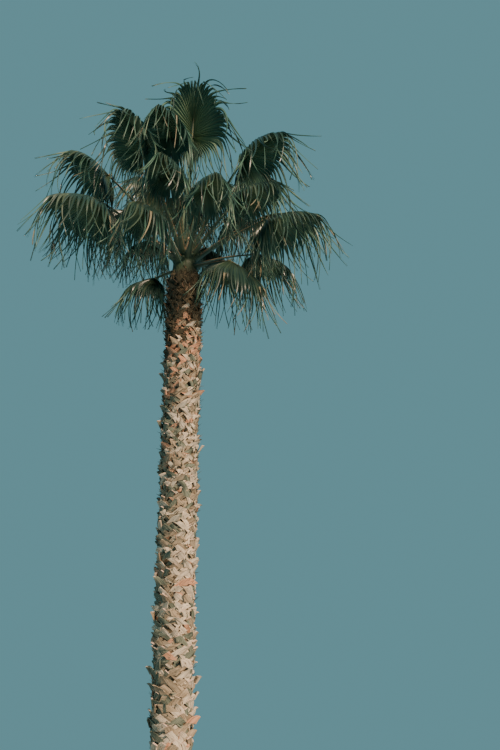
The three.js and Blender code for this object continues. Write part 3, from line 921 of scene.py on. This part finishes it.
def sheath_skin(name, matted, green):
    material, shader = new_material(name, Specular_IOR_Level=0.3)
    fibres = add_node(
        material, "ShaderNodeTexNoise", Scale=1.0, Detail=3.0,
        Vector=laid_out(material, "UV", (STREAKS_ROUND * 2, SHEATH_RUN, 1))).outputs["Fac"]
    own = add_node(material, "ShaderNodeTexCoord").outputs["UV"]
    up_sheath = add_node(material, "ShaderNodeSeparateXYZ", Vector=own).outputs["Y"]
    frayed = add_node(
        material, "ShaderNodeMath", {"operation": "MULTIPLY_ADD"}, _0=fibres, _1=FRAYED, _2=up_sheath)
    share = add_node(
        material, "ShaderNodeMapRange", Value=frayed.outputs["Value"],
        From_Min=GREEN_FROM[0], From_Max=GREEN_FROM[1]).outputs["Result"]
    colour = add_node(
        material, "ShaderNodeMix", {"data_type": "RGBA"}, _0=share,
        _6=two_tones(material, fibres, *matted), _7=two_tones(material, fibres, *green)).outputs[2]
    hang_skin(material, shader, colour, relief=fibres, depth=0.003, rough=(0.9, 0.5), rough_by=share)
    return material


def streaked_skin(name, dark, light, pitch, roughness):
    """A dry part with streaks that run up it, at a pitch in metres."""
    material, shader = new_material(name, Roughness=roughness, Specular_IOR_Level=0.3)
    streaks = add_node(
        material, "ShaderNodeTexNoise", Scale=1.0, Detail=3.0,
        Vector=laid_out(material, "Object", (1 / pitch, 1 / pitch, STREAK_RUN))).outputs["Fac"]
    hang_skin(material, shader, two_tones(material, streaks, dark, light), relief=streaks, depth=0.001)
    return material


leaf_sheath = sheath_skin("leaf_sheath", ("#23211a", "#4b4636"), ("#27372a", "#465841"))
cut_stalk = streaked_skin("cut_stalk_stub", "#a0714f", "#ecd0ae", 0.006, 0.7)
horny_tooth = streaked_skin("horny_tooth", "#6b4526", "#a9774a", 0.004, 0.45)
STALK_NODES = [f"stalk_{i + 1:02d}" for i in range(len(FRONDS))]
make_piece("toothed_stalks", stalks_bm, [waxy_stalk, horny_tooth], STALK_NODES)
make_piece("sheaths_and_stubs", sheaths_bm, [leaf_sheath, cut_stalk], [])

# %% [markdown]
# A fan hangs from the tip of its stalk, the hub. Its leaflets leave the hub and the first stretch of the
# rib all round but for a gap towards the stalk. Each runs straight while it is joined to its neighbours,
# breaks downwards just past there, and then hangs. The rule is the solids' own, with two things added:
# each free leaflet is limper or stiffer than the rule says and sways to one side, and about one in seven
# stays stiff and sticks out.

# %% Path of a leaflet
SPREAD = 174  # degrees from the middle leaflet to the outermost
JOINED = 0.38  # of a leaflet's length
RIB = 0.260  # metres that the rib runs on from the hub
RIB_ARCH = 0.9  # how fast the rib arches down, per metre
SIDE_SHORTER, SIDE_CURVE = 0.24, 2.2  # share that the outermost leaflets are shorter by, and a power
SCATTER = 0.08  # share by which lengths differ by chance
PATH_STEPS = 20
YOUNG = {"fold": 30, "bends_at": 0.44, "limp": 1.0}  # degrees, and shares
OLD = {"fold": 42, "bends_at": 0.41, "limp": 0.8}
BEND_WIDTH = 0.10
FREE_BY = 0.12  # of the length past the join, where a leaflet hangs quite free
MIDDLE_SHARE = 0.4  # the leaflets that the rib holds, from the middle to a side
MIDDLE_LIMP = {"level": 0.6, "upright": 0.95}  # against the sides: a rib holds them, but upright ones flop
BACK_FOLD = 62  # degrees that the leaflets beside the stalk fold down by
BACK_DIP = 0.35  # and how steeply they leave it below
BEND_BEFORE = 0.3  # how fast a leaflet turns down before the bend, at it, and beyond it
BEND_MOST = 9
BEND_BEYOND = 2.4

Seat = namedtuple("Seat", "hub ahead across over radius middle_limp fold bends_at limp")
Habit = namedtuple("Habit", "scatter limper sway twist forked")
PLAIN = Habit(scatter=0.5, limper=1.0, sway=Vector(), twist=0.0, forked=False)


def fan_seat(frond):
    ahead = direction(frond.turn, frond.rise - STALK_SAG / 2 - frond.hang)
    across = direction(frond.turn + 90, 0)
    own = {key: lerp(YOUNG[key], OLD[key], age_of(frond)) for key in YOUNG}
    middle_limp = lerp(MIDDLE_LIMP["level"], MIDDLE_LIMP["upright"], clamp(ahead.z))
    return Seat(
        hub=stalk_points(frond)[-1], ahead=ahead, across=across, over=ahead.cross(across),
        radius=frond.radius, middle_limp=middle_limp, **own)


def rib_point(seat, reach):
    """The point on a fan's rib at a reach from its hub, and the way the rib runs there."""
    point = seat.hub + seat.ahead * reach - UP * (RIB_ARCH * reach ** 2)
    return point, (seat.ahead - UP * (2 * RIB_ARCH * reach)).normalized()


def leaflet_path(seat, share, habit):
    """The points of a leaflet's middle line, for its share of the way from the middle leaflet to a side."""
    turn = math.radians(SPREAD) * share
    point, ahead = rib_point(seat, RIB * max(0, math.cos(turn)) ** 2)
    length = seat.radius * (1 - SIDE_SHORTER * abs(share) ** SIDE_CURVE)
    length *= 1 + SCATTER * (habit.scatter - 0.5)
    at_back = clamp(-math.cos(turn))
    fold = math.radians(lerp(seat.fold, BACK_FOLD, at_back))
    side = seat.across * (math.cos(fold) * math.copysign(1, turn)) - seat.over * math.sin(fold)
    way = ahead * math.cos(turn) + side * abs(math.sin(turn)) - seat.over * (BACK_DIP * at_back)
    way.normalize()
    held = lerp(seat.middle_limp, 1, clamp(abs(share) / MIDDLE_SHARE))
    points = [point]
    for i in range(PATH_STEPS):
        r = (i + 0.5) / PATH_STEPS
        freed = fade(r, JOINED, JOINED + FREE_BY)
        at_bend = BEND_MOST * math.exp(-(((r - seat.bends_at) / BEND_WIDTH) ** 2))
        beyond = BEND_BEYOND * max(0, r - seat.bends_at)
        limp = seat.limp * lerp(1, habit.limper, freed) * held
        turn_down = (BEND_BEFORE + (at_bend + beyond) * limp) * length / seat.radius / PATH_STEPS
        way = way + way * (way.z * turn_down) - UP * turn_down + habit.sway * (freed / PATH_STEPS)
        way.normalize()
        point = point + way * (length / PATH_STEPS)
        points.append(point)
    return points


seats = [fan_seat(frond) for frond in FRONDS]
middle_leaflet = leaflet_path(seats[-2], 0, PLAIN)
print("the top fan's middle leaflet ends at", [round(c, 2) for c in middle_leaflet[-1]])

# %% [markdown]
# Chance gives each leaflet its habit: its length, how limp it hangs and to which side, how far it twists
# and whether its tip forks. A stiff one could stick out further than the palm's real reach, so it is tried
# again up to three times, limper, until it stays inside, and the last try is kept if none does.

# %% Habits of leaflets
LEAFLETS = 68
LENGTHS = (-0.3, 1.3)  # of the scatter in length, the least and the most
STIFF_ONES = 0.14
STIFF, LIMP = (0.08, 0.43), (0.35, 1.65)  # against the rule's own limpness
LIMPER_TRIES = (0.8, 1.0, 1.3)
SWAY = 1.5
TWIST = 150  # degrees at the tip, either way
FORKED_ONES = 0.70
STRAY = (0.10, 0.10, 0.02)  # metres that a leaflet may pass the solids' box by


def leaflet_share(i):
    return (i + 0.5) / LEAFLETS * 2 - 1


def leaflet_habit(number, i):
    seed = number * 100 + i
    stiff = chance(seed, 1) < STIFF_ONES
    return Habit(
        scatter=lerp(*LENGTHS, chance(seed, 2)),
        limper=lerp(*(STIFF if stiff else LIMP), chance(seed, 3)),
        sway=Vector((spread(seed, 4, SWAY), spread(seed, 5, SWAY), 0)),
        twist=math.radians(spread(seed, 6, TWIST)),
        forked=chance(seed, 7) < FORKED_ONES)


def stays_inside(points):
    low, high = SOLIDS_BOX
    return all(low[k] - STRAY[k] < point[k] < high[k] + STRAY[k] for point in points for k in range(3))


def own_path(seat, number, i):
    """The path of one leaflet of one fan, by its own habit."""
    habit = leaflet_habit(number, i)
    for limper in (habit.limper, *LIMPER_TRIES):
        path = leaflet_path(seat, leaflet_share(i), habit._replace(limper=limper))
        if stays_inside(path):
            break
    return path


print("fans have", LEAFLETS, "leaflets each")

# %% [markdown]
# A fan's blade is one grid: two columns for each leaflet, so that it can fold along its rib, and rows from
# the hub to the tips, closest at the bend. Making leaflets one at a time would leave the pleats of the
# joined part apart. Where leaflets are joined, a margin lies between its two ribs and a pleat higher than
# they do. Where they are free, rib and margins follow the leaflet's own path, twist with it and narrow
# towards the tip, and a forked tip opens down its rib.

# %% Where the points of a blade go
LEAF_STEPS = (0.25, 1, 3, 5, 6, 7, 8, 9, 10, 11, 12, 13, 14, 16, 18, 20)  # the path steps that carry a row
FIRST_SLIT = LEAF_STEPS.index(6)
FORK_ROW = LEAF_STEPS.index(16)
PLEAT = 0.015  # from the rib up to the margin, where leaflets are joined
LOOSE_FOLD = 0.006  # and where they hang free
LOOSE_WIDTH = 0.62  # of the width at the join, once a leaflet has folded up
TIP_WIDTH, TIP_CURVE = 0.10, 1.6  # of that, at the tip, and a power
FORK_GAP = 0.016
FORK_FROM = 0.6  # of the free length
FOLDS_IN, LEVELS_IN, TWISTS_IN = 1 / 4, 1 / 3, 1 / 1.6  # shares of the free length that each change takes

Point = namedtuple("Point", "place along across normal")


def sheet_point(path, step, across):
    point, along = at_share(path, step / PATH_STEPS)
    across = (across - along * across.dot(along)).normalized()
    return Point(point, along, across, along.cross(across))


def blade_places(number, seat):
    """A function from a column, a path step and the halves that meet there to a place."""
    ribs = [own_path(seat, number, i) for i in range(LEAFLETS)]
    rims = [leaflet_path(seat, share, PLAIN) for share in (-1, 1)]
    habits = [leaflet_habit(number, i) for i in range(LEAFLETS)]
    join = int(JOINED * PATH_STEPS)  # a path step
    neighbours = [rims[0], *ribs, rims[1]]
    gaps = [(neighbours[i + 2][join] - neighbours[i][join]) / 2 for i in range(LEAFLETS)]

    def joined_margin(m, step):
        before, after = neighbours[m], neighbours[m + 1]
        share = 0.5 if 0 < m < LEAFLETS else float(m == LEAFLETS)  # the blade's two edges lie on its rims
        middle = [a.lerp(b, share) for a, b in zip(before, after)]
        point = sheet_point(middle, step, after[join] - before[join])
        return point.place + point.normal * (PLEAT / 2)

    def place(column, step, halves):
        leaflets = {half // 2 for half in halves}
        on_rim = column in (0, 2 * LEAFLETS)
        if column % 2 == 0 and (len(leaflets) > 1 or on_rim and step <= join):
            return joined_margin(column // 2, step)
        i = leaflets.pop()
        point = sheet_point(ribs[i], step, gaps[i])
        free = clamp((step - join) / (PATH_STEPS - join))
        twist = habits[i].twist * clamp(free / TWISTS_IN)
        across = point.across * math.cos(twist) + point.normal * math.sin(twist)
        normal = point.normal * math.cos(twist) - point.across * math.sin(twist)
        half_width = gaps[i].length / 2 * lerp(1, LOOSE_WIDTH, clamp(free / FOLDS_IN))
        half_width *= lerp(1, TIP_WIDTH, free ** TIP_CURVE)
        deep = lerp(PLEAT, LOOSE_FOLD, clamp(free / LEVELS_IN)) / 2
        gap = FORK_GAP * max(0, free - FORK_FROM)
        if column % 2 == 0:
            side = -1 if column // 2 == i else 1
            out = half_width + (gap if habits[i].forked else 0)
            return point.place + across * (side * out) + normal * deep
        fork = 0
        if len(halves) == 1:
            fork = gap * (-1 if halves.pop() % 2 == 0 else 1)
        return point.place + across * fork - normal * deep

    return place, habits


print("a blade's grid has", 2 * LEAFLETS, "columns and", len(LEAF_STEPS) - 1, "rows")

# %% [markdown]
# Now the grid itself. Beyond the join its margins are split open, each from its own row, and so are the
# ribs of leaflets whose tips fork. Splitting comes first, while the grid is still flat, because each copy
# of a split point must know on which side of the slit it lies. Then every point moves to its place. Edges
# that run along a leaflet stay sharp, so that each fold catches the light on one side only.

# %% One blade
SLIT_ROWS = 3  # over which the slits' starts are scattered


def slit_row(number, column):
    return FIRST_SLIT + int(chance(number * 100 + column, 8) * SLIT_ROWS)


def add_blade(bm, number, seat, finish_of):
    columns, rows = 2 * LEAFLETS, len(LEAF_STEPS) - 1
    start = len(bm.verts)
    made = bmesh.ops.create_grid(bm, x_segments=columns, y_segments=rows, size=0.5, calc_uvs=True)
    place, habits = blade_places(number, seat)

    def cell(co):
        return (co.x + 0.5) * columns, (co.y + 0.5) * rows

    slits = []
    edges = {edge for vert in made["verts"] for edge in vert.link_edges}
    for edge in sorted(edges, key=lambda e: e.index):
        (column, row), (other, other_row) = (cell(vert.co) for vert in edge.verts)
        column, is_lengthwise = round(column), abs(column - other) < 0.1
        if not is_lengthwise:
            continue
        edge.smooth = False
        lower = round(min(row, other_row))
        is_margin = column % 2 == 0 and 0 < column < columns
        is_forked_rib = column % 2 == 1 and habits[column // 2].forked
        if is_margin and lower >= slit_row(number, column) or is_forked_rib and lower >= FORK_ROW:
            slits.append(edge)
    bmesh.ops.split_edges(bm, edges=slits)
    bm.verts.ensure_lookup_table()
    verts = bm.verts[start:]
    moved = []
    for vert in verts:
        column, row = cell(vert.co)
        halves = {int(cell(face.calc_center_median())[0]) for face in vert.link_faces}
        moved.append(place(round(column), LEAF_STEPS[round(row)], halves))
    for face in {face for vert in verts for face in vert.link_faces}:
        column, row = cell(face.calc_center_median())
        face.material_index = finish_of(number, int(column) // 2, int(row))
        face.smooth = True
    for vert, co in zip(verts, moved):
        vert.co = co


# %% [markdown]
# Each leaflet has one green, dealt out by chance: most are deep green, some fresher and some more olive.
# Some tips have dried to straw, and a few leaflets have dried from the join on. Older fans have more olive
# and straw in them than young ones. A material for each green, dealt out face by face, keeps the edge
# between two leaflets sharp, which a pattern across the blade would not.

# %% Which leaflet gets which green
DEEP, MIDDLE, OLIVE, STRAW = range(4)
DRY_FROM_ROW = len(LEAF_STEPS) - 3
DRY_TIPS, OLDER_DRY_TIPS = 0.03, 0.09  # share of a young fan's leaflets, and how much more of an old one's
DRY_ONES, OLDER_DRY_ONES = 0.01, 0.03
DEEP_SHARE, GREEN_SHARE, OLDER_OLIVE = 0.45, 0.86, 0.15


def leaflet_finish(number, leaflet, row):
    age = age_of(FRONDS[number - 1])
    seed = number * 100 + leaflet
    if row >= DRY_FROM_ROW and chance(seed, 9) < DRY_TIPS + OLDER_DRY_TIPS * age:
        return STRAW
    if row >= FIRST_SLIT + 2 and chance(seed, 16) < DRY_ONES + OLDER_DRY_ONES * age:
        return STRAW
    draw = chance(seed, 10)
    return DEEP if draw < DEEP_SHARE else MIDDLE if draw < GREEN_SHARE - OLDER_OLIVE * age else OLIVE


oldest_tips = [leaflet_finish(1, i, DRY_FROM_ROW) for i in range(LEAFLETS)]
print("the oldest fan has", oldest_tips.count(STRAW), "dry tips")

# %% [markdown]
# A living palm leaf is leathery, and a thin wax gives it a satin gloss, so that each fold catches a line
# of light. Its veins run from hub to tip about 1.5 mm apart. They are drawn six to a leaflet, about 6 mm
# apart at the join, so that they still show. Each leaflet's rib is paler. So are the pleats round the hub,
# partly their own paler colour and partly painted glow of light shining through the blade there. The
# underside has hardly any wax, and its greens are made much paler than the upper side's as painted light,
# for the light that comes through a leaf and up from below, so each green is made twice. The finish reads
# the blade's own UV map: its first axis crosses the leaflets and its second runs along them.

# %% Leathery palm leaf
VEINS = 6
VEIN_RUN = 5
RIB_PALENESS, RIB_FROM = 0.45, 0.38  # how pale, and from where, at 0 on the margins and 0.5 on the rib
HUB_PALENESS_AND_GLOW, HUB_REACH = 0.70, 0.32  # how much paler, partly as painted glow, and up to where, of the blade's rows
LESS_ROUGH, MORE_ROUGH = 0.08, 0.12  # that the veins take off a leaf's roughness and add to it


def palm_leaf(name, dark, light, rib, roughness, wax=0.36):
    material, shader = new_material(name, Specular_IOR_Level=0.5, Coat_Weight=wax, Coat_Roughness=0.22)
    veins = add_node(
        material, "ShaderNodeTexNoise", Scale=1.0, Detail=2.0,
        Vector=laid_out(material, "UV", (VEINS * LEAFLETS, VEIN_RUN, 1))).outputs["Fac"]
    leaflet = add_node(
        material, "ShaderNodeSeparateXYZ", Vector=laid_out(material, "UV", (LEAFLETS, 1, 1)))
    from_margin = add_node(
        material, "ShaderNodeMath", {"operation": "PINGPONG"}, _0=leaflet.outputs["X"], _1=0.5)
    on_rib = add_node(
        material, "ShaderNodeMapRange", Value=from_margin.outputs["Value"],
        From_Min=RIB_FROM, From_Max=0.5, To_Max=RIB_PALENESS)
    # Partly painted glow: the blade grows paler towards the hub, for light shining through it there.
    hub_pale_and_glow = add_node(
        material, "ShaderNodeMapRange", Value=leaflet.outputs["Y"],
        From_Min=0.02, From_Max=HUB_REACH, To_Min=HUB_PALENESS_AND_GLOW, To_Max=0.0)
    pale = add_node(
        material, "ShaderNodeMath", {"operation": "MAXIMUM"},
        _0=on_rib.outputs["Result"], _1=hub_pale_and_glow.outputs["Result"])
    colour = add_node(
        material, "ShaderNodeMix", {"data_type": "RGBA"}, _0=pale.outputs["Value"],
        _6=two_tones(material, veins, dark, light), _7=linear(rib)).outputs[2]
    hang_skin(
        material, shader, colour, relief=veins, depth=0.0015,
        rough=(roughness - LESS_ROUGH, roughness + MORE_ROUGH))
    return material


LEAF_FINISHES = [
    palm_leaf("deep_green_palm_leaf", "#162e28", "#243d36", "#455942", 0.40),
    palm_leaf("green_palm_leaf", "#203a32", "#324b41", "#52654a", 0.38),
    palm_leaf("olive_palm_leaf", "#344439", "#4b5c4b", "#667152", 0.40),
    palm_leaf("straw_leaf_tip", "#6a6350", "#958c70", "#a59b7c", 0.7),
]
# Painted light: the green undersides are much paler than the upper sides, standing for light through the
# leaf and from below. The straw one is not made paler.
UNDERSIDES_PAINTED_PALER = [
    palm_leaf("deep_green_leaf_underside", "#2e4e46", "#436a5c", "#7c9068", 0.55, wax=0.05),
    palm_leaf("green_leaf_underside", "#38594d", "#507664", "#87996e", 0.55, wax=0.05),
    palm_leaf("olive_leaf_underside", "#4a6354", "#69826b", "#949f72", 0.55, wax=0.05),
    palm_leaf("straw_tip_underside", "#6a6350", "#8f866b", "#a0967a", 0.7, wax=0.0),
]
print(len(LEAF_FINISHES), "finishes for the upper sides and", len(UNDERSIDES_PAINTED_PALER), "for the undersides")

# %% [markdown]
# The blades are made in batches, because one mesh of them all would be too heavy to handle. A Solidify
# modifier gives each sheet the thickness of a real leaf, so that it is a closed body too. The sheets'
# normals point down, so the faces that they start with become the undersides, and the modifier's material
# offset gives the shell above them the waxy finishes.

# %% All the blades
LEAF_THICKNESS = 0.0012
BATCH = 8  # fans

for first in range(0, len(FRONDS), BATCH):
    numbers = range(first + 1, min(first + BATCH, len(FRONDS)) + 1)
    blades_bm = bmesh.new()
    blades_bm.loops.layers.uv.new("UVMap")
    for number in numbers:
        add_blade(blades_bm, number, seats[number - 1], leaflet_finish)
    blades = make_piece(
        f"fan_blades_{numbers[0]:02d}_to_{numbers[-1]:02d}", blades_bm, UNDERSIDES_PAINTED_PALER + LEAF_FINISHES,
        [f"fan_{number:02d}" for number in numbers])
    leather = blades.modifiers.new("leaf_thickness", "SOLIDIFY")
    leather.thickness = LEAF_THICKNESS
    leather.offset = 0
    leather.material_offset = len(UNDERSIDES_PAINTED_PALER)

# %% [markdown]
# Where a stalk meets its fan it runs on as a rib under the blade, and a pale horny crest stands over the
# hub. From below the hub shows as a bright spot with the pleats fanning out of it. The rib is a tube that
# tapers almost to nothing, and the crest a flattened cone. Both are horn, pale and half dull, which gives
# the eye a light line in the dark of the blade.

# %% Ribs and crests
RIB_WIDTH = 0.030
RIB_TIP = 0.12  # of its width, and 0 would be a point
RIB_DEPTH = 0.7  # against its width
RIB_FROM_TO = (-0.02, RIB * 1.2)  # past the hub, both ways
RIB_BELOW = (0.004, 0.008)  # the blade, at either end
RIB_COLUMNS, RIB_ROWS = 8, 6
CREST = {"length": 0.055, "width": 0.026, "tip": 0.002}
CREST_THIN = 0.35  # against its width
CREST_AHEAD = 0.6  # how far it leans ahead for each step up


def rib_place(seat):
    def place(around, along):
        angle = around * 2 * math.pi
        half = RIB_WIDTH / 2 * lerp(1, RIB_TIP, along)
        point = rib_point(seat, lerp(*RIB_FROM_TO, along))[0] - seat.over * lerp(*RIB_BELOW, along)
        lift = math.sin(angle) * half * RIB_DEPTH
        return point + seat.across * (math.cos(angle) * half) + seat.over * lift
    return place


ribs_bm = bmesh.new()
ribs_bm.loops.layers.uv.new("UVMap")
for seat in seats:
    add_tube(ribs_bm, RIB_COLUMNS, RIB_ROWS, rib_place(seat))
    lean = (seat.over + seat.ahead * CREST_AHEAD).normalized()
    axes = Matrix((seat.across, lean.cross(seat.across) * CREST_THIN, lean)).transposed().to_4x4()
    bmesh.ops.create_cone(
        ribs_bm, cap_ends=True, segments=8, depth=CREST["length"],
        radius1=CREST["width"], radius2=CREST["tip"],
        matrix=Matrix.Translation(seat.hub + lean * (CREST["length"] * 0.42)) @ axes)
pale_rib = streaked_skin("pale_horny_rib", "#8c8560", "#c9bd94", 0.004, 0.5)
make_piece("ribs_and_crests", ribs_bm, [pale_rib], [])

# %% [markdown]
# The unopened leaf stands in the middle of the crown like a closed umbrella: its pleats are still folded
# against each other round a tapering stick. A rolled grid with its radius waved in and out gives the
# folds, turned a little on the way up. It is leathery like the others, but paler and yellower.

# %% Unopened leaf
SPEAR = {"length": 0.950, "base": 0.034, "tip": 0.006, "lean": 3, "turn": 40, "sunk": 0.020}
SPEAR_FOLDS = 9
SPEAR_COLUMNS, SPEAR_ROWS = SPEAR_FOLDS * 6, 24
SPEAR_CURVE = 1.4  # over 1, it keeps its width longer than a straight cone
FOLD_DEPTH = 0.22  # of the radius
FOLDS_TURN = 3  # radians, from the foot to the tip


def spear_place(around, along):
    start = Vector((0, 0, TRUNK_HEIGHT + HEART_HEIGHT - SPEAR["sunk"]))
    way = direction(SPEAR["turn"], 90 - SPEAR["lean"])
    across = UP.cross(way).normalized()
    angle = around * 2 * math.pi
    fold = 1 + FOLD_DEPTH * math.cos(SPEAR_FOLDS * angle + along * FOLDS_TURN)
    half = lerp(SPEAR["base"], SPEAR["tip"], along ** SPEAR_CURVE) / 2 * fold
    point = start + way * (along * SPEAR["length"])
    return point + across * (math.cos(angle) * half) + way.cross(across) * (math.sin(angle) * half)


spear_bm = bmesh.new()
spear_bm.loops.layers.uv.new("UVMap")
add_tube(spear_bm, SPEAR_COLUMNS, SPEAR_ROWS, spear_place)
young_leaf = palm_leaf("young_palm_leaf", "#5c6b40", "#7f8a58", "#98a06c", 0.4)
make_piece("unopened_leaf", spear_bm, [young_leaf], ["spear"])

# %% [markdown]
# The solids' reach is the palm's real reach, so the finished palm is measured against it before the
# script ends. The tips of a few leaflets may pass it, by 3% of a side and 10 mm at most.

# %% Measure and finish
ALLOWED_SHARE, ALLOWED_MORE = 0.03, 0.010

FINISHED_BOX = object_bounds()
boxes = {"solids": SOLIDS_BOX, "finished": FINISHED_BOX}
{name: [[float(c) for c in corner] for corner in box] for name, box in boxes.items()}
for k, axis in enumerate("xyz"):
    side = SOLIDS_BOX[1][k] - SOLIDS_BOX[0][k]
    proud = max(SOLIDS_BOX[0][k] - FINISHED_BOX[0][k], FINISHED_BOX[1][k] - SOLIDS_BOX[1][k])
    allowed = side * ALLOWED_SHARE + ALLOWED_MORE
    print(f"{axis}: {proud * 1000:.0f} mm proud of {side:.2f} m, {allowed * 1000:.0f} mm allowed")
